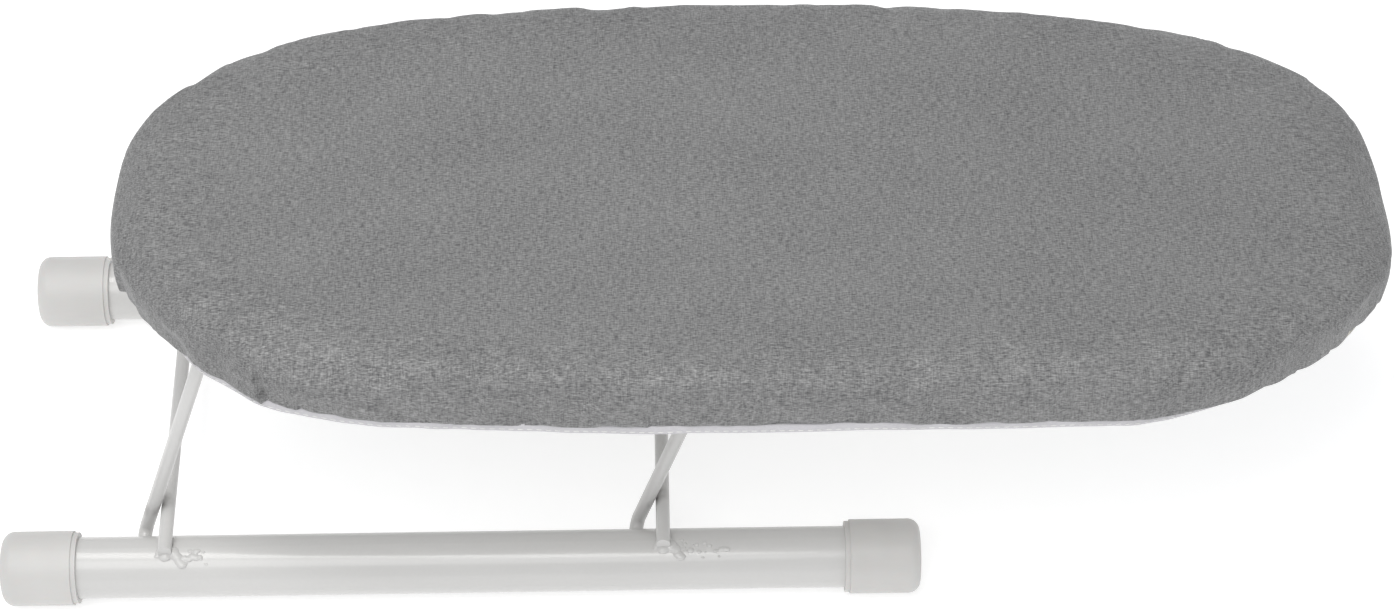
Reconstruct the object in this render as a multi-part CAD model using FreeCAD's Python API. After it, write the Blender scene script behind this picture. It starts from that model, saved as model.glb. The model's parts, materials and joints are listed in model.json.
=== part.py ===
import FreeCAD, Part
import math
import os

# Table-top ironing board on two wire swing-leg frames, in millimetres.
# Row frame: +X along the board towards its free end, +Y to the back, +Z up.
# The origin is under the middle of the whole object, on the surface it stands on.

Vector = FreeCAD.Vector
X_AXIS = Vector(1, 0, 0)
Y_AXIS = Vector(0, 1, 0)
Z_AXIS = Vector(0, 0, 1)

# Whole object
overall_length = 485.0
top_z = 140.0

# Ironing surface, seen from above: a long oval. Each corner has its own roundness,
# where 2 is an ellipse and more is squarer, in the order front left, front right,
# rear right, rear left. The cloth sits a little askew on the deck, so they differ.
board_length = 437.0
board_half_width = 93.0
cloth_corners = (2.75, 3.6, 2.6, 2.85)
deck_corners = (2.95, 2.8, 2.8, 2.95)
outline_points = 48

# Soft parts
cover_bottom_z = 118.2
cover_thickness = 1.0
shoulder_radius = 12.0
pad_thickness = 8.1
soft_gap = 0.2
hem_height = 3.0
hem_inset = 0.3
hem_width = 5.2
elastic_size = 2.0

# Pressed steel deck under the pad
deck_inset = 7.0
deck_sheet = 1.0
deck_depth = 12.0
deck_edge_radius = 2.5
vent_radius = 4.0
vent_pitch_x = 29.5
vent_pitch_y = 30.0
rim_band_thickness = 1.8
rim_band_height = 5.0

# Foot tubes
foot_length = 327.0
foot_spacing = 133.0
tube_radius = 11.0
tube_wall = 1.2
cap_radius = 13.3
cap_length = 27.0
cap_end_wall = 2.6
cap_dome_radius = 4.2
cap_lip_length = 1.8
cap_lip_inset = 0.6
cap_fit = 0.03

# Wire work
wire_radius = 2.5
cross_wire_overhang = 3.5
leg_lean_deg = 17.4
leg_wall_offset = 16.4
toe_bend_radius = 4.6
top_bend_radius = 9.0
toe_reach = 4.8
left_pivot_from_foot_end = 49.0
leg_pitch = 176.6
stop_gap = 0.3
running_fit = 0.08
open_pivot_fit = 0.4

# Saddle clips and their rivets
clip_width = 12.0
clip_sheet = 1.2
clip_flange = 9.0
clip_y = 28.0
rivet_radius = 1.6
rivet_head_radius = 3.0
rivet_head_height = 1.1
crossbar_gap = 0.3

# Welds
weld_sink = 0.35
bead_radius = 2.7

# Places worked out from the sizes above
board_right_x = overall_length / 2
board_mid_x = board_right_x - board_length / 2
foot_left_x = -overall_length / 2
foot_right_x = foot_left_x + foot_length
foot_y = foot_spacing / 2
axis_z = cap_radius
pad_top_z = top_z - cover_thickness - soft_gap
deck_top_z = pad_top_z - pad_thickness - soft_gap
deck_bottom_z = deck_top_z - deck_depth
deck_under_z = deck_top_z - deck_sheet
crossbar_z = deck_under_z - crossbar_gap - wire_radius
leg_lean = math.radians(leg_lean_deg)
leg_rise = crossbar_z - axis_z
leg_length = leg_rise / math.cos(leg_lean)
leg_shift = leg_rise * math.tan(leg_lean)
leg_y = foot_y - leg_wall_offset
left_pivot_x = foot_left_x + left_pivot_from_foot_end
pivot_xs = (left_pivot_x, left_pivot_x + leg_pitch)
cross_wire_z = axis_z + tube_radius + wire_radius - weld_sink
stop_distance = 2 * wire_radius + stop_gap
cross_wire_rise = cross_wire_z - axis_z
cross_wire_offset = (stop_distance + cross_wire_rise * math.sin(leg_lean)) / math.cos(leg_lean)
cross_wire_xs = tuple(x + cross_wire_offset for x in pivot_xs)


def outline(inset, z, corners):
    """The board's oval at height z, pulled in by inset all round."""
    front_left, front_right, rear_right, rear_left = corners
    half_length = board_length / 2 - inset
    half_width = board_half_width - inset
    points = []
    for step in range(outline_points):
        angle = 2 * math.pi * (step + 0.5) / outline_points
        across = math.sin(angle)
        along = math.cos(angle)
        if across > 0:
            roundness = rear_right if along > 0 else rear_left
        else:
            roundness = front_right if along > 0 else front_left
        x = math.copysign(abs(along) ** (2 / roundness), along) * half_length
        y = math.copysign(abs(across) ** (2 / roundness), across) * half_width
        points.append(Vector(board_mid_x + x, y, z))
    curve = Part.BSplineCurve()
    curve.interpolate(Points=points, PeriodicFlag=True)
    return Part.Wire([curve.toShape()])


def slab(inset, bottom, top, corners, edge_radius=0.0):
    """A solid oval slab, with its upper edge rounded where a radius is given."""
    body = Part.Face(outline(inset, bottom, corners)).extrude(Z_AXIS * (top - bottom))
    if edge_radius:
        upper = [e for e in body.Edges if e.BoundBox.ZMin > top - 0.01]
        body = body.makeFillet(edge_radius, upper)
    return body


def ring(outer_inset, inner_inset, bottom, top, corners):
    """A hoop that follows the board's edge."""
    hollow = slab(inner_inset, bottom - 1, top + 1, corners)
    return slab(outer_inset, bottom, top, corners).cut(hollow)


def rod(start, end, radius):
    """A straight round bar between two points."""
    run = end.sub(start)
    return Part.makeCylinder(radius, run.Length, start, run)


def save(name, shape):
    """Write one sub-part and print its volume."""
    shape.exportStep("parts/" + name + ".step")
    print(name, round(shape.Volume), "mm3", "valid" if shape.isValid() else "NOT VALID")


# Soft parts of the deck

def make_cover():
    outer = slab(0, cover_bottom_z, top_z, cloth_corners, shoulder_radius)
    inner_radius = shoulder_radius - cover_thickness
    inner_top = top_z - cover_thickness
    inner = slab(cover_thickness, cover_bottom_z - 1, inner_top, cloth_corners, inner_radius)
    return outer.cut(inner)


def make_pad():
    inset = cover_thickness + soft_gap
    bottom = cover_bottom_z + soft_gap
    outer = slab(inset, bottom, pad_top_z, cloth_corners, shoulder_radius - inset)
    hollow = slab(deck_inset - soft_gap, bottom - 1, deck_top_z + soft_gap, deck_corners)
    return outer.cut(hollow)


def make_hem_binding():
    top = cover_bottom_z - soft_gap
    return ring(hem_inset, hem_inset + hem_width, top - hem_height, top, cloth_corners)


def make_elastic_cord():
    top = cover_bottom_z - 2 * soft_gap
    start = hem_inset + hem_width + soft_gap
    return ring(start, start + elastic_size, top - elastic_size, top, cloth_corners)


# Steel deck

def vent_centres():
    """Steam vents on a grid, kept clear of the skirt and of the clip rivets."""
    centres = []
    for column in range(-6, 7):
        for row in range(-2, 3):
            x = column * vent_pitch_x
            y = row * vent_pitch_y
            reach_x = (abs(x) + 3 * vent_radius) / (board_length / 2 - deck_inset)
            reach_y = (abs(y) + 3 * vent_radius) / (board_half_width - deck_inset)
            squareness = min(deck_corners)
            inside = reach_x ** squareness + reach_y ** squareness < 1
            world_x = board_mid_x + x
            near_bar = any(abs(world_x - bar_x) < clip_flange + 8 for bar_x in crossbar_xs())
            if inside and not near_bar:
                centres.append((world_x, y))
    return centres


def crossbar_xs():
    return tuple(x + leg_shift for x in pivot_xs)


def rivet_centres():
    reach = wire_radius + clip_sheet + clip_flange / 2 + 0.4
    centres = []
    for bar_x in crossbar_xs():
        for side_y in (-clip_y, clip_y):
            centres.append((bar_x - reach, side_y))
            centres.append((bar_x + reach, side_y))
    return centres


def make_deck_panel():
    outer = slab(deck_inset, deck_bottom_z, deck_top_z, deck_corners, deck_edge_radius)
    inner_radius = deck_edge_radius - deck_sheet
    inside = deck_inset + deck_sheet
    hollow = slab(inside, deck_bottom_z - 1, deck_under_z, deck_corners, inner_radius)
    panel = outer.cut(hollow)
    cutters = []
    for x, y in vent_centres():
        cutters.append(Part.makeCylinder(vent_radius, 4, Vector(x, y, deck_under_z - 1), Z_AXIS))
    for x, y in rivet_centres():
        cutters.append(Part.makeCylinder(rivet_radius, 4, Vector(x, y, deck_under_z - 1), Z_AXIS))
    return panel.cut(Part.makeCompound(cutters))


def make_rim_band():
    start = deck_inset + deck_sheet + 0.1
    top = deck_bottom_z + rim_band_height
    return ring(start, start + rim_band_thickness, deck_bottom_z, top, deck_corners)


def make_saddle_clip(bar_x, mid_y, fit):
    """An omega strap that holds a leg's crossbar up against the deck."""
    inner = wire_radius + fit
    outer = inner + clip_sheet
    y0 = mid_y - clip_width / 2
    rise = deck_under_z - crossbar_z
    centre = Vector(bar_x, y0, crossbar_z)
    loop = Part.makeCylinder(outer, clip_width, centre, Y_AXIS)
    loop = loop.common(Part.makeBox(2 * outer, clip_width, outer, Vector(bar_x - outer, y0, crossbar_z - outer)))
    sides = Part.makeBox(2 * outer, clip_width, rise, Vector(bar_x - outer, y0, crossbar_z))
    flange_span = 2 * (outer + clip_flange)
    flange_corner = Vector(bar_x - flange_span / 2, y0, deck_under_z - clip_sheet)
    flange = Part.makeBox(flange_span, clip_width, clip_sheet, flange_corner)
    strap = loop.fuse([sides, flange])
    bore = Part.makeCylinder(inner, clip_width, centre, Y_AXIS)
    slot = Part.makeBox(2 * inner, clip_width, rise, Vector(bar_x - inner, y0, crossbar_z))
    strap = strap.cut(bore.fuse(slot))
    holes = []
    for x, y in rivet_centres():
        if abs(y - mid_y) < 1 and abs(x - bar_x) < flange_span:
            holes.append(Part.makeCylinder(rivet_radius, 6, Vector(x, y, deck_under_z - 4), Z_AXIS))
    return strap.cut(Part.makeCompound(holes)).removeSplitter()


def make_clip_rivets():
    """Eight flush rivets, domed below, through the deck and the clip flanges."""
    rivets = []
    head_z = deck_under_z - clip_sheet
    for x, y in rivet_centres():
        shank = Part.makeCylinder(rivet_radius, deck_top_z - head_z, Vector(x, y, head_z), Z_AXIS)
        dome_radius = (rivet_head_radius ** 2 + rivet_head_height ** 2) / (2 * rivet_head_height)
        ball = Part.makeSphere(dome_radius, Vector(x, y, head_z - rivet_head_height + dome_radius))
        below = Part.makeCylinder(rivet_head_radius, rivet_head_height,
                                  Vector(x, y, head_z - rivet_head_height), Z_AXIS)
        rivets.append(shank.fuse(ball.common(below)).removeSplitter())
    return Part.makeCompound(rivets)


# Wire leg frames

def make_leg_frame(pivot_x):
    """An upside-down U of wire whose lower ends turn out into the foot tubes."""
    lean = Vector(math.sin(leg_lean), 0, math.cos(leg_lean))
    foot = Vector(pivot_x, 0, axis_z)

    def point(y, up):
        return foot + Y_AXIS * y + lean * up

    def bend(middle_y, middle_up, radius, y_way, up_way):
        """A quarter turn from a run along Y into a run along the leg."""
        centre_y = middle_y + y_way * radius
        centre_up = middle_up + up_way * radius
        diagonal = radius / math.sqrt(2)
        start = point(centre_y, middle_up)
        half = point(centre_y - y_way * diagonal, centre_up - up_way * diagonal)
        end = point(middle_y, centre_up)
        return Part.Arc(start, half, end).toShape()

    toe_y = foot_y - toe_reach
    low = toe_bend_radius
    high = leg_length - top_bend_radius
    bar_y = leg_y - top_bend_radius
    edges = [
        Part.makeLine(point(-toe_y, 0), point(-leg_y - low, 0)),
        bend(-leg_y, 0, low, -1, 1),
        Part.makeLine(point(-leg_y, low), point(-leg_y, high)),
        bend(-leg_y, leg_length, top_bend_radius, 1, -1),
        Part.makeLine(point(-bar_y, leg_length), point(bar_y, leg_length)),
        bend(leg_y, leg_length, top_bend_radius, -1, -1),
        Part.makeLine(point(leg_y, high), point(leg_y, low)),
        bend(leg_y, 0, low, 1, 1),
        Part.makeLine(point(leg_y + low, 0), point(toe_y, 0)),
    ]
    path = Part.Wire(Part.__sortEdges__(edges))
    circle = Part.Wire([Part.makeCircle(wire_radius, point(-toe_y, 0), Y_AXIS)])
    return path.makePipeShell([circle], True, False)


# Base

def make_foot_tube(side):
    """A foot tube with one hole in its inner wall for each leg's toe."""
    y = side * foot_y
    start = Vector(foot_left_x + cap_end_wall + 0.2, y, axis_z)
    end = Vector(foot_right_x - cap_end_wall - 0.2, y, axis_z)
    tube = rod(start, end, tube_radius).cut(rod(start - X_AXIS, end + X_AXIS, tube_radius - tube_wall))
    for x in pivot_xs:
        middle = Vector(x, y, axis_z)
        inner_side = Vector(x, y - side * 2 * tube_radius, axis_z)
        tube = tube.cut(rod(middle, inner_side, wire_radius + running_fit))
    return tube


def make_end_cap(end_x, inward, side):
    """A plastic cup over a tube end, domed outside, with a small step at its mouth."""
    y = side * foot_y
    tip = Vector(end_x, y, axis_z)
    step = X_AXIS * inward
    cup = rod(tip, tip + step * (cap_length - cap_lip_length), cap_radius)
    rim = [e for e in cup.Edges if abs(e.BoundBox.XMin - end_x) < 0.01 and e.BoundBox.XLength < 0.01]
    cup = cup.makeFillet(cap_dome_radius, rim)
    mouth = tip + step * cap_length
    lip = rod(tip + step * (cap_length - cap_lip_length), mouth, cap_radius - cap_lip_inset)
    bore = rod(tip + step * cap_end_wall, mouth + step, tube_radius + cap_fit)
    return cup.fuse(lip).cut(bore).removeSplitter()


def foot_bar(side):
    """The outside of one foot tube as a solid bar."""
    start = Vector(foot_left_x, side * foot_y, axis_z)
    return rod(start, start + X_AXIS * foot_length, tube_radius)


def make_cross_wire(x):
    """A wire laid across both foot tubes, bedded a little into each by its welds."""
    reach = foot_y + cross_wire_overhang
    wire = rod(Vector(x, -reach, cross_wire_z), Vector(x, reach, cross_wire_z), wire_radius)
    return wire.cut(foot_bar(-1)).cut(foot_bar(1))


def make_weld_beads():
    """Fillets of weld on both sides of each cross wire, on top of each foot tube."""
    beads = []
    for x in cross_wire_xs:
        wire = rod(Vector(x, -2 * foot_y, cross_wire_z), Vector(x, 2 * foot_y, cross_wire_z), wire_radius)
        for side in (-1, 1):
            for way in (-1, 1):
                spot = Vector(x + way * wire_radius, side * foot_y, axis_z + tube_radius + 0.5)
                beads.append(Part.makeSphere(bead_radius, spot).cut(foot_bar(side)).cut(wire))
    return Part.makeCompound(beads)


def main():
    os.makedirs("parts", exist_ok=True)
    for side, place in ((-1, "front"), (1, "rear")):
        save(place + "_foot_tube", make_foot_tube(side))
        save(place + "_left_end_cap", make_end_cap(foot_left_x, 1, side))
        save(place + "_right_end_cap", make_end_cap(foot_right_x, -1, side))
    save("left_cross_wire", make_cross_wire(cross_wire_xs[0]))
    save("right_cross_wire", make_cross_wire(cross_wire_xs[1]))
    save("weld_beads", make_weld_beads())
    save("left_leg_frame", make_leg_frame(pivot_xs[0]))
    save("right_leg_frame", make_leg_frame(pivot_xs[1]))
    fits = (running_fit, open_pivot_fit)
    for place, bar_x, fit in zip(("left", "right"), crossbar_xs(), fits):
        save("front_" + place + "_saddle_clip", make_saddle_clip(bar_x, -clip_y, fit))
        save("rear_" + place + "_saddle_clip", make_saddle_clip(bar_x, clip_y, fit))
    save("clip_rivets", make_clip_rivets())
    save("deck_panel", make_deck_panel())
    save("rim_band", make_rim_band())
    save("foam_pad", make_pad())
    save("fabric_cover", make_cover())
    save("hem_binding", make_hem_binding())
    save("elastic_cord", make_elastic_cord())
    folded_bar_z = crossbar_z - (cover_bottom_z - soft_gap - hem_height - 2 * cap_radius - 0.8)
    fold = leg_lean_deg + math.degrees(math.acos((folded_bar_z - axis_z) / leg_length))
    print("leg pivots", pivot_xs, "height", axis_z, "crossbars", crossbar_xs(), "height", crossbar_z)
    print("cross wires", cross_wire_xs, "at", cross_wire_z, "leg length", leg_length, "fold", fold)


main()
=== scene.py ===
# %% [markdown]
# # A table-top ironing board
# A padded oval board stands on two parallel wire legs that swing over a base of two foot tubes.
# The steel, the wire and the plastic come ready-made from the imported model, because their shapes have
# to fit each other. This lesson adds what a maker's drawing doesn't hold: the stretched cloth, its
# gathered hem, the weld runs, the finishes, the light and the camera.

# %% Load the frame
import json
import math
import random

import bmesh
import bpy
import numpy as np
from mathutils import Matrix, Vector


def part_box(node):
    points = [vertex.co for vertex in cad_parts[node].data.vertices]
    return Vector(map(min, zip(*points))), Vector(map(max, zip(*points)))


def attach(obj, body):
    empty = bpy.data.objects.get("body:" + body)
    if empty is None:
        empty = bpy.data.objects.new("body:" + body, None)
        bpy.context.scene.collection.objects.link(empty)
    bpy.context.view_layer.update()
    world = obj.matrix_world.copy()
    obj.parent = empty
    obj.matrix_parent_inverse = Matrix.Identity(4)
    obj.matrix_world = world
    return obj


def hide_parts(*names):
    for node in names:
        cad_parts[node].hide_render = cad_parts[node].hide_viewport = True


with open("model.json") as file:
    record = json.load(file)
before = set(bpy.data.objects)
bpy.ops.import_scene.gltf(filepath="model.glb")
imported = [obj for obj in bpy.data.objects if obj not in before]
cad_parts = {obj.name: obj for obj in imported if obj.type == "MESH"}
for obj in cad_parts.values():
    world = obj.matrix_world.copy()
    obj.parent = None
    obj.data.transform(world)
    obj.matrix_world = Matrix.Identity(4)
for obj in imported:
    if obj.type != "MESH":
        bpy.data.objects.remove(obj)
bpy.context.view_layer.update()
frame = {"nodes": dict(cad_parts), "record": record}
MM = 0.001

# %% [markdown]
# ## The camera
# The board is seen from the front and well above, through a long lens, so that its long edges stay
# almost parallel. A camera could be aimed with a tracking constraint, but then its roll isn't free.
# Here two angles give the direction it looks along, and its right and up vectors follow from that. A
# very small roll is left in, as a hand-held camera has.

# %% Place the camera
LENS_MM = 93.497
SENSOR_MM = 36.0
NEAREST, FARTHEST = 0.05, 50
camera_place = Vector((-0.0126, -0.8608, 1.0406))
turn, dip, roll = math.radians(1.242), math.radians(48.283), math.radians(0.125)

ahead = Vector((math.sin(turn) * math.cos(dip), math.cos(turn) * math.cos(dip), -math.sin(dip)))
level_right = ahead.cross(Vector((0, 0, 1))).normalized()
level_up = level_right.cross(ahead)
right = level_right * math.cos(roll) + level_up * math.sin(roll)
up = level_up * math.cos(roll) - level_right * math.sin(roll)

camera_data = bpy.data.cameras.new("long_lens")
camera_data.sensor_width = SENSOR_MM
camera_data.lens = LENS_MM
camera_data.clip_start, camera_data.clip_end = NEAREST, FARTHEST
camera = bpy.data.objects.new("long_lens", camera_data)
bpy.context.scene.collection.objects.link(camera)
axes = Matrix((right, up, -ahead)).transposed().to_4x4()
camera.matrix_world = Matrix.Translation(camera_place) @ axes
bpy.context.scene.camera = camera
bpy.context.scene.view_settings.view_transform = "Standard"
print("lens", round(camera_data.lens, 1), "mm")

# %% [markdown]
# ## Floor and light
# White steel on a white floor only reads well when the light is broad and comes from above, so that
# each tube keeps a soft line of light along its crest and a darker edge below. The sky does most of
# the work here. A long, narrow panel overhead draws that line, and a wide, high one in front gives the
# cloth its sheen along the shoulder. The floor glows faintly, so the shadow under the board stays pale.

# %% Make the floor, the sky and two light panels
def material_with_shader(name):
    """A new node material and its main shader node."""
    material = bpy.data.materials.new(name)
    material.use_nodes = True
    return material, material.node_tree.nodes["Principled BSDF"]


def new_object(name, mesh):
    """A mesh placed in the scene under a name."""
    made = bpy.data.objects.new(name, mesh)
    bpy.context.scene.collection.objects.link(made)
    return made


def light_panel(name, place, target, size, power, tint):
    """An oblong soft light that faces a point; size is its width and height."""
    data = bpy.data.lights.new(name, "AREA")
    data.shape = "RECTANGLE"
    data.size, data.size_y = size
    data.energy, data.color = power, tint
    lamp = bpy.data.objects.new(name, data)
    bpy.context.scene.collection.objects.link(lamp)
    lamp.location = place
    lamp.rotation_euler = (Vector(target) - Vector(place)).to_track_quat("-Z", "Y").to_euler()
    return lamp


FLOOR_HALF = 6.0
FLOOR_TONE, FLOOR_GLOW, SKY_GLOW = 0.72, 0.50, 0.62
BOARD_MIDDLE = (0.0, 0.0, 0.1)

floor_mesh = bpy.data.meshes.new("studio_floor")
corners = [(-FLOOR_HALF, -FLOOR_HALF, 0), (FLOOR_HALF, -FLOOR_HALF, 0),
           (FLOOR_HALF, FLOOR_HALF, 0), (-FLOOR_HALF, FLOOR_HALF, 0)]
floor_mesh.from_pydata(corners, [], [(0, 1, 2, 3)])
floor = new_object("studio_floor", floor_mesh)
floor_paper, floor_shader = material_with_shader("floor_paper")
floor_shader.inputs["Base Color"].default_value = (FLOOR_TONE,) * 3 + (1,)
floor_shader.inputs["Roughness"].default_value = 0.9
floor_shader.inputs["Emission Color"].default_value = (1.0, 1.0, 1.0, 1)
floor_shader.inputs["Emission Strength"].default_value = FLOOR_GLOW
floor_mesh.materials.append(floor_paper)

sky = bpy.data.worlds.new("soft_room")
sky.use_nodes = True
sky.node_tree.nodes["Background"].inputs["Color"].default_value = (0.97, 0.98, 1.0, 1)
sky.node_tree.nodes["Background"].inputs["Strength"].default_value = SKY_GLOW
bpy.context.scene.world = sky
light_panel("overhead_panel", (-0.30, -0.15, 1.7), BOARD_MIDDLE, (1.5, 0.28), 11, (1.0, 0.99, 0.97))
light_panel("front_panel", (-0.5, -1.0, 1.7), BOARD_MIDDLE, (1.5, 0.8), 11, (1.0, 1.0, 1.0))
print("floor and light are in place")

# %% [markdown]
# ## Shader sums written as Python
# A finish is a sum of patterns: grain plus mottling, minus wear. A small class that stands for one
# socket and knows the four rules of arithmetic lets such a sum be written as it would be on paper.
# Numbers go through Math nodes, and colours or directions through Vector Math.

# %% A socket that can be added and multiplied
class Signal:
    """One output socket of a finish, for use in sums."""

    def __init__(self, finish, socket):
        self.finish = finish
        self.socket = socket

    def _sum(self, operation, first, second):
        directed = [s for s in (first, second) if isinstance(s, Signal) and s.socket.type != "VALUE"]
        kind = "VectorMath" if directed else "Math"
        values = [v if isinstance(v, Signal) or not directed else (v, v, v) for v in (first, second)]
        return self.finish.node(kind, {"operation": operation}, {0: values[0], 1: values[1]})

    def __add__(self, other):
        return self._sum("ADD", self, other)

    def __radd__(self, other):
        return self._sum("ADD", other, self)

    def __sub__(self, other):
        return self._sum("SUBTRACT", self, other)

    def __rsub__(self, other):
        return self._sum("SUBTRACT", other, self)

    def __mul__(self, other):
        return self._sum("MULTIPLY", self, other)

    def __rmul__(self, other):
        return self._sum("MULTIPLY", other, self)

    def clamped(self):
        """The same value, kept between 0 and 1."""
        return self.finish.node("Clamp", {}, {"Value": self})


class Finish:
    """A material that is built up from patterns in the object's own space."""

    def __init__(self, name):
        self.material, self.shader = material_with_shader(name)
        self.tree = self.material.node_tree
        self.place = self.node("TexCoord", output="Object")

    def node(self, kind, settings=None, inputs=None, output=0):
        """Adds any node: its settings first, then the values or links of its sockets."""
        made = self.tree.nodes.new("ShaderNode" + kind)
        for name, value in (settings or {}).items():
            setattr(made, name, value)
        for key, value in (inputs or {}).items():
            if isinstance(value, Signal):
                self.tree.links.new(value.socket, made.inputs[key])
            else:
                made.inputs[key].default_value = value
        return Signal(self, made.outputs[output])

    def grain(self, per_metre, detail=2.0, roughness=0.5):
        """Noise with its own number of cells per metre along X, Y and Z, centred on 0."""
        stretched = self.node("VectorMath", {"operation": "MULTIPLY"}, {0: self.place, 1: per_metre})
        wanted = {"Vector": stretched, "Scale": 1.0, "Detail": detail, "Roughness": roughness}
        return self.node("TexNoise", {}, wanted) - 0.5

    def mix(self, factor, first, second):
        """A colour between two colours."""
        sockets = {0: factor, 6: first, 7: second}
        return self.node("Mix", {"data_type": "RGBA"}, sockets, output=2)

    def near(self, point, radius):
        """1 at a point, falling to 0 at a radius."""
        apart = self.node("VectorMath", {"operation": "DISTANCE"}, {0: self.place, 1: point}, "Value")
        return (1 - apart * (1 / radius)).clamped()

    def bump(self, height, distance, strength=1.0):
        """A surface direction from a height pattern; distance is in metres."""
        sockets = {"Height": height, "Distance": distance, "Strength": strength}
        return self.node("Bump", {}, sockets)

    def feed(self, socket, value):
        """Links a pattern, or sets a constant, on the main shader."""
        if isinstance(value, Signal):
            self.tree.links.new(value.socket, self.shader.inputs[socket])
        else:
            self.shader.inputs[socket].default_value = value


print("shader sums are ready")

# %% [markdown]
# ## The cover cloth
# The cover is a grey melange with a faint silver look, as heat-reflecting covers have. Close to, the
# cloth is a plain weave: light and dark yarn flecks lie along the weft, with a weaker cross pattern
# from the warp. Three stretched noises give that at the yarns' own sizes, so it needs no image and no
# unwrapping, and it looks the same on the top, the rounded shoulder and the sides.

# %% Mix the cloth finish
def melange_cloth():
    cloth = Finish("silver_grey_melange")
    weft = cloth.grain((430, 2500, 2500), 2.0, 0.55)
    warp = cloth.grain((2300, 330, 330), 2.0, 0.5)
    fleck = cloth.grain((1050, 1900, 1900), 1.0)
    mottle = cloth.grain((22, 34, 34), 2.0)
    yarn = weft * 1.9 + warp * 0.95 + fleck * 0.6 + mottle * 0.2
    tone = (yarn + 0.46).clamped()
    cloth.feed("Base Color", cloth.mix(tone, (0.086, 0.086, 0.088, 1), (0.325, 0.325, 0.322, 1)))
    cloth.feed("Roughness", 0.66 - yarn * 0.30)
    cloth.feed("Metallic", (0.16 + yarn * 0.3).clamped())
    cloth.feed("Normal", cloth.bump(weft + warp * 0.7, 0.00022, 0.8))
    cloth.feed("Sheen Weight", 0.12)
    cloth.feed("Sheen Roughness", 0.45)
    return cloth.material


cover_cloth = melange_cloth()
print("cloth:", len(cover_cloth.node_tree.nodes), "nodes")

# %% [markdown]
# ## The other finishes
# Powder coat is melted on, so it has a faint orange peel and rounds over every edge. The same coat on
# thin wire is thicker and wavier. Where a leg rests against its stop wire, and at the left leg's toes
# by the tube, it carries painted contact shade: darker, and a little rougher. The end caps are moulded
# polyethylene, softer and a little warmer in tone. Clips and rivets are plated.

# %% Powder coat, plastic, plate and the small soft parts
def powder_coat(name, peel_per_metre, peel_depth, contact_shades=()):
    """A satin white coat with orange peel, and painted shade, darker and a little rougher, round given
    contact places.
    """
    coat = Finish(name)
    peel = coat.grain((peel_per_metre,) * 3, 2.0)
    cloud = coat.grain((14, 40, 40), 3.0)
    speck = coat.grain((2400, 2400, 2400), 0.0)
    tone = (0.55 + cloud * 0.7 + peel * 0.25).clamped()
    colour = coat.mix(tone, (0.520, 0.515, 0.503, 1), (0.610, 0.605, 0.595, 1))
    rough = 0.34 + cloud * 0.10 + speck * 0.06
    for place, radius in contact_shades:
        # painted shade: the coat is darkened, and made a little rougher, near each contact place
        shade_mask = (coat.near(place, radius) * (1.6 + 3.0 * peel)).clamped()
        colour = coat.mix(shade_mask * 0.75, colour, (0.22, 0.21, 0.20, 1))
        rough = rough + shade_mask * 0.15
    coat.feed("Base Color", colour)
    coat.feed("Roughness", rough)
    coat.feed("Normal", coat.bump(peel, peel_depth, 0.7))
    coat.feed("Coat Weight", 0.35)
    coat.feed("Coat Roughness", 0.09)
    return coat.material


def cap_plastic():
    """Moulded polyethylene: fine spark-eroded texture and a soft, slightly uneven tone."""
    plastic = Finish("cap_plastic")
    texture = plastic.grain((1700, 1700, 1700), 2.0)
    flow = plastic.grain((60, 25, 25), 2.0)
    scuff = plastic.grain((90, 420, 420), 4.0, 0.7)
    tone = (0.5 + flow * 0.8 + scuff * 0.25).clamped()
    plastic.feed("Base Color", plastic.mix(tone, (0.520, 0.512, 0.498, 1), (0.605, 0.598, 0.584, 1)))
    plastic.feed("Roughness", 0.46 + texture * 0.12 + scuff * 0.1)
    plastic.feed("Normal", plastic.bump(texture + scuff * 0.5, 0.00006, 0.6))
    plastic.feed("Subsurface Weight", 0.06)
    plastic.feed("Subsurface Scale", 0.003)
    return plastic.material


def zinc_plate():
    """Bright zinc over pressed steel, with rolling marks and small spangles."""
    plate = Finish("zinc_plate")
    rolled = plate.grain((120, 1600, 1600), 3.0)
    spangle = plate.grain((420, 420, 420), 1.0)
    tone = (0.5 + rolled * 0.6 + spangle * 0.7).clamped()
    plate.feed("Base Color", plate.mix(tone, (0.46, 0.47, 0.49, 1), (0.72, 0.73, 0.74, 1)))
    plate.feed("Metallic", 1.0)
    plate.feed("Roughness", 0.36 + rolled * 0.2)
    plate.feed("Normal", plate.bump(rolled, 0.00004, 0.5))
    return plate.material


def white_textile(name, low, high, along, across, depth):
    """White woven or knitted trim; along and across are its yarns per metre."""
    trim = Finish(name)
    rib = trim.grain((along, across, across), 1.0)
    cross = trim.grain((across, along, across), 1.0)
    soil = trim.grain((45, 45, 45), 3.0)
    tone = (0.6 + rib * 0.6 + cross * 0.5 + soil * 0.4).clamped()
    trim.feed("Base Color", trim.mix(tone, low, high))
    trim.feed("Roughness", 0.84 + rib * 0.1)
    trim.feed("Normal", trim.bump(rib + cross, depth, 0.9))
    trim.feed("Sheen Weight", 0.1)
    return trim.material


def box_middle(node):
    low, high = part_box(node)
    return (low + high) / 2


LEG_HALF_SPREAD = 48.7 * MM
# radii of the painted contact shade at the stop wires and at the left leg's toes
STOP_SHADE_RADIUS, TOE_SHADE_RADIUS = 5.5 * MM, 5.0 * MM


def contact_shade_places():
    """Places of painted contact shade: where each leg rests against its cross wire, and at the left leg's
    toes by the tube.
    """
    places = []
    tube_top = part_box("front_foot_tube")[1].z
    for side in ("left", "right"):
        leg_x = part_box(side + "_leg_frame")[0].x
        wire_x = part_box(side + "_cross_wire")[0].x
        wire_z = box_middle(side + "_cross_wire").z
        for y in (-LEG_HALF_SPREAD, LEG_HALF_SPREAD):
            places.append(((wire_x, y, wire_z), STOP_SHADE_RADIUS))
            if side == "left":
                places.append(((leg_x + 3 * MM, y, tube_top + 3 * MM), TOE_SHADE_RADIUS))
    return places


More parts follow.
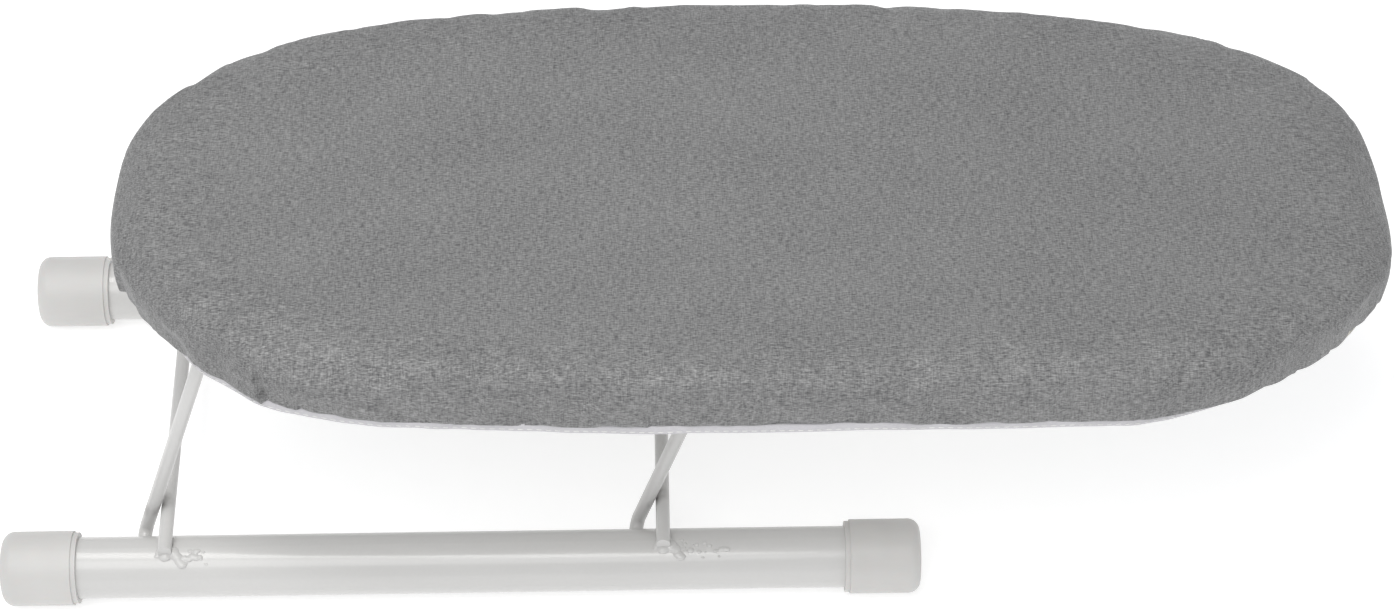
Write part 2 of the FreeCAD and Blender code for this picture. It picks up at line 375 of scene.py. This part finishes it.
smooth_coat = powder_coat("tube_powder_coat", 850, 0.00005)
# the wire coat gets painted contact shade where the legs touch the cross wires and at the left toes
wire_coat = powder_coat("wire_powder_coat", 520, 0.00009, contact_shade_places())
weld_coat = powder_coat("weld_powder_coat", 1300, 0.00020)
cap_white = cap_plastic()
plated = zinc_plate()
tape_white = white_textile("hem_tape_cotton", (0.44, 0.43, 0.45, 1), (0.60, 0.59, 0.61, 1),
                           500, 2100, 0.00012)
elastic_white = white_textile("braided_elastic", (0.62, 0.62, 0.61, 1), (0.82, 0.82, 0.80, 1),
                              900, 1500, 0.0002)
foam_cream = white_textile("felt_faced_foam", (0.58, 0.55, 0.47, 1), (0.80, 0.78, 0.70, 1),
                           700, 900, 0.0005)

CRISP_ANGLE = math.radians(32)
FINISHES = {
    "white_powder_coat": smooth_coat, "white_wire_coat": wire_coat, "coated_weld": weld_coat,
    "white_cap_plastic": cap_white, "zinc_plate": plated, "grey_fabric": cover_cloth,
    "white_binding": tape_white, "white_elastic": elastic_white, "pad_foam": foam_cream,
}
node_slots = {s["node"]: s["material_slot"] for s in frame["record"]["subparts"]}
for name, node_object in frame["nodes"].items():
    node_object.data.materials.clear()
    node_object.data.materials.append(FINISHES[node_slots[name]])
    for face in node_object.data.polygons:
        face.use_smooth = True
    crisp = node_object.modifiers.new("crisp_edges", "EDGE_SPLIT")
    crisp.split_angle = CRISP_ANGLE
print(len(FINISHES), "finishes on", len(node_slots), "nodes")

# %% [markdown]
# ## The board's outline
# Seen from above the board is a long oval that is squarer than an ellipse. A superellipse gives it
# with two sizes and a roundness, and here each corner has a roundness of its own, because the cloth
# sits a little askew. The stretched cloth doesn't follow it all the way: it is pulled tight between a
# few gathers, so between two of them the edge runs nearly straight, and at some it stands out past
# the oval in a blunt corner. Equal steps along the edge are
# needed later for even cloth, so the outline is measured and then divided again.

# %% Work out the outline and its gathers
cover_low, cover_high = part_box("fabric_cover")
MID = (cover_low + cover_high) / 2
HALF_LENGTH = (cover_high.x - cover_low.x) / 2
HALF_WIDTH = (cover_high.y - cover_low.y) / 2
FRONT_LEFT, FRONT_RIGHT, REAR_RIGHT, REAR_LEFT = 2.80, 3.60, 2.60, 2.86
COLUMNS = 360

# Each gather: place round the board in degrees from the free end, how far the cloth stands out past
# the oval there (or within it, below zero), and how far it is pulled in halfway to the next gather.
GATHERS = [(-178, 0.0, 0.6), (-170, 0.2, 1.3), (-156, -2.4, 1.4), (-144, 0.4, 2.1),
           (-132, 4.8, 0.3), (-118, 3.6, 1.6), (-95, 0.9, 0.6), (-80, 1.4, 0.6), (-68, 3.9, 0.0),
           (-56, 1.9, 0.3), (-43, -3.1, -0.9), (-35, -5.2, -1.0), (-26, -3.4, 1.2),
           (-14, -0.9, 0.0), (-8, 0.4, 0.0), (0, -0.8, 1.4), (13, -0.5, 1.4), (28, 2.6, 1.5),
           (48, 1.5, 0.0), (66, -1.0, 1.2), (92, 1.2, 0.9), (114, 1.5, 0.4), (129, 1.6, 1.5),
           (141, 0.3, 1.6), (158, -2.4, 0.2), (171, -0.8, 0.7), (182, 0.0, 0.0)]


def oval_point(angle):
    """A point of the superellipse, about the board's middle."""
    across, along = math.sin(angle), math.cos(angle)
    if across > 0:
        power = 2 / (REAR_RIGHT if along > 0 else REAR_LEFT)
    else:
        power = 2 / (FRONT_RIGHT if along > 0 else FRONT_LEFT)
    x = math.copysign(abs(along) ** power, along) * HALF_LENGTH
    y = math.copysign(abs(across) ** power, across) * HALF_WIDTH
    return x, y


def pull_at(angle):
    """How far the edge is pulled in at this place, in metres."""
    degrees = math.degrees(angle)
    for (start, out, depth), (end, next_out, _) in zip(GATHERS, GATHERS[1:]):
        if start <= degrees < end:
            share = (degrees - start) / (end - start)
            return (depth * math.sin(math.pi * share) - out - (next_out - out) * share) * MM
    return 0.0


def even_outline(columns):
    """Points, outward directions and angles at equal steps along the edge."""
    fine = np.radians(np.linspace(-178, 182, 4001))
    points = np.array([oval_point(a) for a in fine])
    gaps = np.linalg.norm(np.diff(points, axis=0), axis=1)
    travelled = np.concatenate([[0], np.cumsum(gaps)])
    wanted = np.linspace(0, travelled[-1], columns, endpoint=False)
    angles = np.interp(wanted, travelled, fine)
    edge = np.stack([np.interp(wanted, travelled, points[:, i]) for i in (0, 1)], axis=1)
    tangent = np.roll(edge, -1, axis=0) - np.roll(edge, 1, axis=0)
    tangent /= np.linalg.norm(tangent, axis=1)[:, None]
    outward = np.stack([tangent[:, 1], -tangent[:, 0]], axis=1)
    return edge, outward, angles, travelled[-1]


def smoothed(values, passes):
    """Values round the board, evened out with their neighbours."""
    for _ in range(passes):
        values = (np.roll(values, 1) + 2 * values + np.roll(values, -1)) / 4
    return values


edge, outward, edge_angles, edge_length = even_outline(COLUMNS)
pull = np.array([pull_at(a) for a in edge_angles])
PULL_PASSES = 4
pull = smoothed(pull, PULL_PASSES)
print("edge", round(edge_length, 3), "m in", COLUMNS, "steps of", round(edge_length / COLUMNS / MM, 2), "mm")

# %% [markdown]
# ## Small tools for mesh work
# Most soft parts here are bands that run round the board. One helper joins rows of points into a
# closed band, and another sweeps a small loop of points round the edge.

# %% Mesh helpers
def band_faces(rows, columns):
    """Quads between neighbouring rows of a band that closes on itself."""
    faces = []
    for row in range(rows - 1):
        for column in range(columns):
            after = (column + 1) % columns
            faces.append((row * columns + column, row * columns + after,
                          (row + 1) * columns + after, (row + 1) * columns + column))
    return faces


def mesh_object(name, points, faces, finish):
    """An object with smooth faces that all look outward."""
    mesh = bpy.data.meshes.new(name)
    mesh.from_pydata([tuple(p) for p in points], [], faces)
    made = new_object(name, mesh)
    shell = bmesh.new()
    shell.from_mesh(mesh)
    bmesh.ops.recalc_face_normals(shell, faces=shell.faces)
    shell.to_mesh(mesh)
    shell.free()
    for face in mesh.polygons:
        face.use_smooth = True
    mesh.materials.append(finish)
    return made


def points_of(mesh):
    """The mesh's points as an array."""
    flat = np.zeros(len(mesh.vertices) * 3)
    mesh.vertices.foreach_get("co", flat)
    return flat.reshape(-1, 3)


def set_points(mesh, points):
    mesh.vertices.foreach_set("co", np.asarray(points, np.float32).ravel())
    mesh.update()


def apply_modifiers(made):
    """Replaces an object's mesh by what its modifiers make of it."""
    seen = made.evaluated_get(bpy.context.evaluated_depsgraph_get())
    finished = bpy.data.meshes.new_from_object(seen)
    made.modifiers.clear()
    made.data = finished
    return made


def ripple(angle, waves, seed):
    """A smooth wave round the board made of a few whole-number waves, about -1 to 1."""
    dice = random.Random(seed)
    total = 0 * angle
    for count in waves:
        total = total + np.sin(count * angle + dice.uniform(0, 2 * math.pi))
    return total / len(waves)


print("mesh helpers are ready")

# %% [markdown]
# ## The cover
# The cover is one oval of cloth, stretched over the pad and drawn in below by an elastic. It could be
# one smooth shell, but it would look moulded. Here it is built as rows of points from the hem up over
# the shoulder to the middle, and then a short cloth simulation lets the shoulder and the sides swell
# and buckle, while the flat top and the hem are held. Its movement is limited, so that the cloth stays
# on the pad. The creases at the gathers are pressed in afterwards.

# %% Lay out the cover's rows
SHOULDER = 12.0 * MM
HEM_Z = cover_low.z
TOP_Z = cover_high.z
SHOULDER_STEPS = 9
SIDE_STEPS = 5
TOP_RINGS = 15
TUCK = [(3.0 * MM, 0.6 * MM), (1.5 * MM, 0.1 * MM), (0.45 * MM, 0.5 * MM), (0.1 * MM, 1.4 * MM)]


def cover_profile():
    """Rows from the hem to the shoulder's top: how far in from the edge, and how high."""
    rows = [(inset, HEM_Z + rise) for inset, rise in TUCK]
    side_top = TOP_Z - SHOULDER
    for step in range(1, SIDE_STEPS + 1):
        share = step / SIDE_STEPS
        rows.append((0.0, HEM_Z + TUCK[-1][1] + share * (side_top - HEM_Z - TUCK[-1][1])))
    for step in range(1, SHOULDER_STEPS + 1):
        angle = math.pi / 2 * step / SHOULDER_STEPS
        rows.append((SHOULDER * (1 - math.cos(angle)), side_top + SHOULDER * math.sin(angle)))
    return rows


def cover_rows():
    """All the cover's points, with the row number of each."""
    profile = cover_profile()
    points, row_of = [], []
    for number, (inset, height) in enumerate(profile):
        low_share = 1 - min(1.0, max(0.0, (height - HEM_Z) / (TOP_Z - HEM_Z)))
        drawn = pull * (0.35 + 0.75 * low_share)
        wave = ripple(edge_angles, (41, 57, 73), 5) * 0.18 * MM * low_share
        reach = edge - outward * (inset + drawn - wave)[:, None]
        for (x, y) in reach:
            points.append((MID.x + x, MID.y + y, height))
            row_of.append(number)
    last = np.array(points[-COLUMNS:])
    middle = np.array([MID.x, MID.y, TOP_Z])
    for ring in range(1, TOP_RINGS):
        share = (1 - ring / TOP_RINGS) ** 0.9
        for point in middle + (last - middle) * share:
            points.append(tuple(point))
            row_of.append(len(profile) + ring - 1)
    points.append(tuple(middle))
    row_of.append(len(profile) + TOP_RINGS)
    return points, np.array(row_of), len(profile)


cover_points, cover_row, shoulder_rows = cover_rows()
cover_row_count = shoulder_rows + TOP_RINGS - 1
pole = len(cover_points) - 1
cover_faces = band_faces(cover_row_count, COLUMNS)
last_row = (cover_row_count - 1) * COLUMNS
cover_faces += [(last_row + c, last_row + (c + 1) % COLUMNS, pole) for c in range(COLUMNS)]
cover = mesh_object("stretched_cover", cover_points, cover_faces, cover_cloth)
print("cover", len(cover_points), "points,", len(cover_faces), "faces")

# %% [markdown]
# ## Settling the cloth
# The rows alone are too regular to be cloth. A light pressure from inside and a small spare length let
# the simulation find its own soft unevenness. The top is flat on the real board and the elastic holds
# the hem, so both are pinned, and each point's way is capped, so that nothing leaves the pad.

# %% Let the cloth settle
SETTLE_FRAMES = 20
MOST_MOVE = 1.6 * MM


def settle_cloth(piece):
    """Runs a short cloth simulation, with the top and the hem held."""
    group = piece.vertex_groups.new(name="held")
    for index, row in enumerate(cover_row):
        if row <= 1 or row >= shoulder_rows + 1:
            group.add([index], 1.0, "REPLACE")
        elif row == shoulder_rows:
            group.add([index], 0.6, "REPLACE")
    before = points_of(piece.data)
    cloth = piece.modifiers.new("settle", "CLOTH")
    cloth.settings.quality = 6
    cloth.settings.mass = 0.25
    cloth.settings.vertex_group_mass = "held"
    cloth.settings.use_pressure = True
    cloth.settings.uniform_pressure_force = 4.0
    cloth.settings.effector_weights.gravity = 0.0
    cloth.settings.shrink_min = -0.025
    cloth.settings.bending_stiffness = 0.6
    cloth.settings.tension_stiffness = 40
    cloth.settings.compression_stiffness = 40
    cloth.point_cache.frame_start = 1
    cloth.point_cache.frame_end = SETTLE_FRAMES
    for number in range(1, SETTLE_FRAMES + 1):
        bpy.context.scene.frame_set(number)
        bpy.context.view_layer.update()
    seen = piece.evaluated_get(bpy.context.evaluated_depsgraph_get())
    moved = points_of(seen.data) - before
    length = np.linalg.norm(moved, axis=1)
    print("cloth moved", round(length.mean() / MM, 2), "mm on average")
    print("and", round(length.max() / MM, 2), "mm at most")
    scale = np.minimum(1.0, MOST_MOVE / np.maximum(length, 1e-9))
    piece.modifiers.clear()
    piece.vertex_groups.clear()
    set_points(piece.data, before + moved * scale[:, None])
    bpy.context.scene.frame_set(1)


settle_cloth(cover)
settled_rows = points_of(cover.data)[:-1].reshape(cover_row_count, COLUMNS, 3)
settled_normals = np.array([v.normal for v in cover.data.vertices])[:-1].reshape(settled_rows.shape)
finer = cover.modifiers.new("finer", "SUBSURF")
finer.levels = finer.render_levels = 1
apply_modifiers(cover)
print("cover now", len(cover.data.vertices), "points")

# %% [markdown]
# ## Creases at the gathers
# Where the elastic bunches the cloth, a short fold runs up from the hem and fades on the shoulder.
# A real fold laps over itself: one side swells and drops off steeply, and the other side rises again
# slowly. The same step is pressed into the finished mesh along the line of each fold. Two are deep and
# the rest are slight, which is what keeps the edge from looking machined.

# %% Press in the creases
# Each crease: place in degrees, depth in millimetres, width in millimetres (below zero where it laps
# the other way), height as a share of the side, and how far its top leans along the edge.
CREASES = [(-130.8, 3.4, 4.5, 1.00, -6.5), (-126.6, 1.6, 4.0, 0.45, 4.0),
           (-168.5, 3.2, 4.0, 0.90, 1.0), (-94.5, 0.9, 4.0, 0.35, -3.0), (-77.0, 0.4, 5.0, 0.50, 4.0),
           (-68.5, 0.5, 5.0, 0.45, 2.0), (-43.5, 0.9, 4.5, 0.60, 3.0), (-35.0, 1.1, 4.0, 0.60, 2.0),
           (-26.0, 1.1, -4.5, 0.75, 2.0), (-14.5, 0.9, -4.0, 0.70, -2.0),
           (-156.0, 0.5, 4.5, 0.60, -2.0), (-144.0, 0.5, 4.0, 0.50, 2.0), (12.5, 1.1, 4.5, 0.90, 2.0),
           (28.0, 1.2, -4.5, 0.90, -2.0), (48.0, 0.4, 4.0, 0.50, 2.0), (113.0, 0.4, -4.0, 0.50, -2.0),
           (129.0, 0.7, 4.5, 0.70, 2.0), (141.0, 1.2, -4.5, 0.90, 2.0), (158.0, 1.0, 4.5, 0.80, -2.0),
           (171.0, 0.8, 4.0, 0.70, 2.0), (80.0, 0.4, 4.0, 0.40, 2.0), (-110.0, 0.3, 4.0, 0.45, -3.0)]
sorted_angles = np.concatenate([edge_angles, [edge_angles[0] + 2 * math.pi]])
sorted_travel = np.linspace(0, edge_length, COLUMNS + 1)


def travel_at(angle):
    """Distance along the edge of a place given by its angle."""
    start = edge_angles[0]
    wrapped = start + (angle - start) % (2 * math.pi)
    return np.interp(wrapped, sorted_angles, sorted_travel)


def edge_travel(points):
    """Distance along the edge of the column nearest to each point."""
    from_middle = points[:, :2] - np.array([MID.x, MID.y])
    travel = np.zeros(len(points))
    nearest = np.zeros(len(points), int)
    for start in range(0, len(points), 4000):
        part = from_middle[start:start + 4000]
        gap = np.linalg.norm(part[:, None, :] - edge[None, :, :], axis=2)
        nearest[start:start + 4000] = gap.argmin(axis=1)
    tangent = np.stack([-outward[:, 1], outward[:, 0]], axis=1)[nearest]
    beyond = ((from_middle - edge[nearest]) * tangent).sum(axis=1)
    travel = nearest * edge_length / COLUMNS + beyond
    return travel, outward[nearest], np.linalg.norm(from_middle - edge[nearest], axis=1)


def press_creases(points):
    """Moves points in on one side of each crease and a little out on the other."""
    travel, away, inset = edge_travel(points)
    height = (points[:, 2] - HEM_Z) / (TOP_Z - HEM_Z)
    up_and_over = height + inset / (4 * SHOULDER)
    depth = np.zeros(len(points))
    for degrees, deep, width, reach, lean in CREASES:
        centre = travel_at(math.radians(degrees))
        along = (travel - centre - lean * MM * up_and_over + edge_length / 2) % edge_length - edge_length / 2
        past = along / (width * MM * (0.6 + 0.5 * up_and_over))
        fade = np.clip(1 - up_and_over / (reach * 1.3), 0, 1) ** 1.2
        lapped = np.where(past > 0, np.exp(-np.abs(past)), -0.3 * np.exp(-1.4 * np.abs(past)))
        depth += lapped * fade * deep * MM
    moved = points.copy()
    moved[:, :2] -= away * depth[:, None]
    return moved


settled = points_of(cover.data)
set_points(cover.data, press_creases(settled))
thin = cover.modifiers.new("cloth_thickness", "SOLIDIFY")
thin.thickness = 0.45 * MM
thin.offset = -1
apply_modifiers(cover)
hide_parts("fabric_cover")
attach(cover, "deck")
print(len(CREASES), "creases pressed in")

# %% [markdown]
# ## The pad
# Under the cover lies felt-faced foam, which also wraps down over the deck's edge. Little of it shows,
# but it must fill the cover, so it takes the cover's own settled shape, drawn in by a cloth's
# thickness, and is closed below round the deck.

# %% Build the pad from the cover's shape
PAD_GAP = 1.5 * MM
pad_low, pad_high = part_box("foam_pad")
deck_low, deck_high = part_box("deck_panel")
DECK_INSET = deck_low.x - cover_low.x
DECK_SHELF = 14.0 * MM


def pad_points():
    """Rows from the middle of the deck out round its edge, then up and over inside the cover."""
    hollow = DECK_INSET - 0.2 * MM
    flat = edge - outward * (hollow + DECK_SHELF)
    inner = [(flat * share, deck_high.z + 0.3 * MM) for share in (0.15, 0.45, 0.8, 1.0)]
    under = [(edge - outward * hollow, deck_high.z + 0.2 * MM),
             (edge - outward * hollow, pad_low.z + 0.4 * MM),
             (edge - outward * (hollow - 2 * MM), pad_low.z + 0.1 * MM)]
    rows = []
    for ring, level in inner + under:
        rows.append(np.column_stack([ring + [MID.x, MID.y], np.full(COLUMNS, level)]))
    for row in range(len(TUCK) - 1, cover_row_count):
        inside = settled_rows[row] - settled_normals[row] * PAD_GAP
        pressed = np.linalg.norm(press_creases(inside) - inside, axis=1)
        deepest = np.max([np.roll(pressed, step) for step in range(-3, 4)], axis=0)
        inside[:, :2] -= outward * deepest[:, None]
        inside[:, 2] = np.maximum(inside[:, 2], pad_low.z + 0.2 * MM)
        rows.append(inside)
    return rows


pad_rows = pad_points()
pad_vertices = np.concatenate(pad_rows)
pad_faces = band_faces(len(pad_rows), COLUMNS)
pad_faces.append(tuple(range(COLUMNS)))
pad_faces.append(tuple((len(pad_rows) - 1) * COLUMNS + c for c in range(COLUMNS)))
pad = mesh_object("felt_faced_pad", pad_vertices, pad_faces, foam_cream)
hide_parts("foam_pad")
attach(pad, "deck")
print("pad", len(pad_vertices), "points")

# %% [markdown]
# ## Hem tape and elastic
# A folded white tape binds the cover's raw edge, and the elastic behind it draws the hem under the
# deck. Both are small loops swept round the edge. Along the front the tape stands a little proud
# below the cloth, and towards the ends the elastic pulls it in under the board.

# %% Sweep the hem tape, its stitches and the elastic
hem_low, hem_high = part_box("hem_binding")
elastic_low, elastic_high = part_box("elastic_cord")


def smooth_step(value, start, end):
    share = np.clip((value - start) / (end - start), 0, 1)
    return share * share * (3 - 2 * share)


def hem_tuck():
    """How far the tape is pulled in under the board at each column."""
    x = edge[:, 0]
    front = edge[:, 1] < 0
    inward = smooth_step(x, 0.55 * HALF_LENGTH, 0.80 * HALF_LENGTH)
    inward = inward + smooth_step(-x, 0.82 * HALF_LENGTH, 0.98 * HALF_LENGTH)
    inward = np.where(front, inward, 0.8)
    return (1.3 + 2.9 * np.clip(inward, 0, 1)) * MM


def crease_pull():
    """How far the creases draw the edge in at each column, at the hem."""
    ring = np.column_stack([edge + [MID.x, MID.y], np.full(COLUMNS, HEM_Z)])
    return np.linalg.norm(press_creases(ring)[:, :2] - ring[:, :2], axis=1)


def swept_band(name, section, inset, height, finish):
    """Sweeps a closed section, given as (in, up) pairs, round the board."""
    rows = []
    for away, rise in section:
        ring = edge - outward * (inset + away)[:, None]
        rows.append(np.column_stack([MID.x + ring[:, 0], MID.y + ring[:, 1], height + rise]))
    points = np.concatenate(rows)
    faces = band_faces(len(section), COLUMNS)
    last = (len(section) - 1) * COLUMNS
    for column in range(COLUMNS):
        after = (column + 1) % COLUMNS
        faces.append((last + column, last + after, after, column))
    return mesh_object(name, points, faces, finish)


def rounded_section(half_in, half_up, steps, squareness=3.0):
    """A small rounded rectangle."""
    section = []
    for step in range(steps):
        angle = 2 * math.pi * step / steps
        c, s = math.cos(angle), math.sin(angle)
        section.append((math.copysign(abs(c) ** (2 / squareness), c) * half_in,
                        math.copysign(abs(s) ** (2 / squareness), s) * half_up))
    return section


TAPE_HALF_HEIGHT = 2.0 * MM
TAPE_HALF_THICK = 0.65 * MM
hem_inset = hem_tuck() + pull * 1.05 + smoothed(crease_pull(), 6) * 0.5
hem_inset = hem_inset + ripple(edge_angles, (67, 83, 101), 11) * 0.22 * MM
hem_height = (hem_low.z + hem_high.z) / 2 + 0.5 * MM + ripple(edge_angles, (9, 23, 61), 13) * 0.2 * MM
tape = swept_band("hem_tape", rounded_section(TAPE_HALF_THICK, TAPE_HALF_HEIGHT, 14),
                  hem_inset, hem_height, tape_white)
tape_finer = tape.modifiers.new("finer", "SUBSURF")
tape_finer.levels = tape_finer.render_levels = 1
apply_modifiers(tape)


STITCH_PITCH = 3.1 * MM
STITCH_SIDES = 6
STITCH_BODY = ((-1.0, 0.06), (-0.7, 0.2), (0.0, 0.24), (0.7, 0.2), (1.0, 0.06))


def stitch_run():
    """Short stitches along the tape's outer face, each a small flattened bead of thread."""
    points, faces = [], []
    stitch_count = int(edge_length / STITCH_PITCH)
    for where in np.linspace(0, COLUMNS, stitch_count, endpoint=False):
        first = int(where) % COLUMNS
        second = (first + 1) % COLUMNS
        share = where - int(where)
        spot = edge[first] * (1 - share) + edge[second] * share
        away = outward[first]
        along = np.array([-away[1], away[0]])
        inset = hem_inset[first] * (1 - share) + hem_inset[second] * share - TAPE_HALF_THICK
        level = hem_height[first] * (1 - share) + hem_height[second] * share - 0.55 * MM
        centre = spot - away * (inset + 0.02 * MM)
        base = len(points)
        for end, radius in STITCH_BODY:
            for corner in range(STITCH_SIDES):
                angle = 2 * math.pi * corner / STITCH_SIDES
                sideways = centre + along * end * MM + away * math.cos(angle) * radius * MM * 0.7
                points.append((MID.x + sideways[0], MID.y + sideways[1],
                               level + math.sin(angle) * radius * MM))
        for ring in range(len(STITCH_BODY) - 1):
            low, high = base + ring * STITCH_SIDES, base + (ring + 1) * STITCH_SIDES
            for corner in range(STITCH_SIDES):
                after = (corner + 1) % STITCH_SIDES
                faces.append((low + corner, low + after, high + after, high + corner))
        end_ring = base + (len(STITCH_BODY) - 1) * STITCH_SIDES
        faces.append(tuple(base + c for c in range(STITCH_SIDES)))
        faces.append(tuple(end_ring + c for c in range(STITCH_SIDES)))
    return points, faces


stitch_points, stitch_faces = stitch_run()
stitches = mesh_object("hem_stitches", stitch_points, stitch_faces, elastic_white)

elastic_inset = elastic_low.x - cover_low.x + 1.0 * MM + ripple(edge_angles, (97, 131), 17) * 0.12 * MM
elastic_level = (elastic_low.z + elastic_high.z) / 2 + ripple(edge_angles, (113, 141), 19) * 0.1 * MM
elastic = swept_band("gathered_elastic", rounded_section(0.95 * MM, 0.95 * MM, 12, 2.0),
                     elastic_inset, elastic_level, elastic_white)
for piece, node in ((tape, "hem_binding"), (elastic, "elastic_cord")):
    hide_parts(node)
    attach(piece, "deck")
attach(stitches, "deck")

# %% [markdown]
# ## Weld runs
# Each cross wire is welded on top of the foot tubes. A weld is a chain of molten drops that froze as
# they ran together, with a trail of spatter thrown beside it. It could be a bump in the coat, but its
# lumps catch the light at the edge, so it is made as a shape: drops are laid in a chain on the tube's
# skin, melted into one body by a fine remesh, and joined by a few loose beads.

# %% Lay the welds
tube_low, tube_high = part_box("front_foot_tube")
TUBE_RADIUS = (tube_high.z - tube_low.z) / 2
TUBE_AXIS_Z = (tube_high.z + tube_low.z) / 2
TUBE_Y = abs((tube_high.y + tube_low.y) / 2)


MELT_GRAIN = 0.28 * MM
RUN_DROPS, HEEL_DROPS, TRAIL_DROPS, LOOSE_BEADS = 7, 3, 9, 8


def drop_mesh(shell, centre, radius, stretch):
    """Adds one rounded drop to a growing mesh."""
    made = bmesh.ops.create_icosphere(shell, subdivisions=2, radius=radius)
    for vertex in made["verts"]:
        vertex.co = Vector(vertex.co[i] * stretch[i] for i in range(3)) + centre


def on_tube(x, degrees, side, sink):
    """A place on a foot tube's skin; degrees lean outward from its crest."""
    angle = math.radians(degrees)
    reach = TUBE_RADIUS - sink
    return Vector((x, side * (TUBE_Y + reach * math.sin(angle)), TUBE_AXIS_Z + reach * math.cos(angle)))


def weld_run(name, wire_x, side, seed, spread):
    """One corner's weld: a bead round the wire's end, a run beside it, and a trail of spatter."""
    dice = random.Random(seed)
    shell = bmesh.new()
    for step in range(RUN_DROPS):
        share = step / (RUN_DROPS - 1)
        x = wire_x + (1.6 + 5.4 * share) * MM
        lean = 8 + 26 * share + dice.uniform(-4, 4)
        radius = (2.2 - 0.9 * share + dice.uniform(-0.25, 0.35)) * MM
        drop_mesh(shell, on_tube(x, lean, side, 0.25 * MM), radius, (1.15, 1.0, 0.66))
    for step in range(HEEL_DROPS):
        x = wire_x - (1.6 + 0.7 * step) * MM
        drop_mesh(shell, on_tube(x, 6 + 6 * step, side, 0.3 * MM), (1.7 - 0.35 * step) * MM, (1, 1, 0.7))
    drop_mesh(shell, on_tube(wire_x, 19, side, 0.2 * MM), 2.2 * MM, (1.1, 0.9, 0.75))
    for step in range(TRAIL_DROPS):
        x = wire_x + (7.5 + spread * step / (TRAIL_DROPS - 1) + dice.uniform(-0.5, 0.5)) * MM
        spot = on_tube(x, 16 + dice.uniform(-9, 9), side, 0.15 * MM)
        drop_mesh(shell, spot, dice.uniform(0.75, 1.3) * MM, (1.3, 1.1, 0.7))
    mesh = bpy.data.meshes.new(name)
    shell.to_mesh(mesh)
    shell.free()
    run = new_object(name, mesh)
    melt = run.modifiers.new("melt", "REMESH")
    melt.mode = "VOXEL"
    melt.voxel_size = MELT_GRAIN
    soften = run.modifiers.new("soften", "SMOOTH")
    soften.factor, soften.iterations = 0.6, 3
    apply_modifiers(run)
    grown = bmesh.new()
    grown.from_mesh(run.data)
    for _ in range(LOOSE_BEADS):
        x = wire_x + (6.0 + (spread + 5) * dice.random()) * MM
        spot = on_tube(x, dice.uniform(0, 36), side, 0.1 * MM)
        drop_mesh(grown, spot, dice.uniform(0.35, 0.6) * MM, (1.3, 1.1, 0.7))
    grown.to_mesh(run.data)
    grown.free()
    for face in run.data.polygons:
        face.use_smooth = True
    run.data.materials.append(weld_coat)
    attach(run, "base")
    return run


# Each weld: the wire it holds, the front (-1) or rear (1) tube, and its spatter's length in millimetres.
WELD_PLACES = (("left", -1, 5), ("left", 1, 5), ("right", -1, 15), ("right", 1, 9))
FIRST_SEED = 30
for number, (wire_name, side, spread) in enumerate(WELD_PLACES):
    place = "front" if side < 0 else "rear"
    wire_x = box_middle(wire_name + "_cross_wire").x
    weld_run(place + "_" + wire_name + "_weld", wire_x, side, FIRST_SEED + number, spread)
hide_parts("weld_beads")
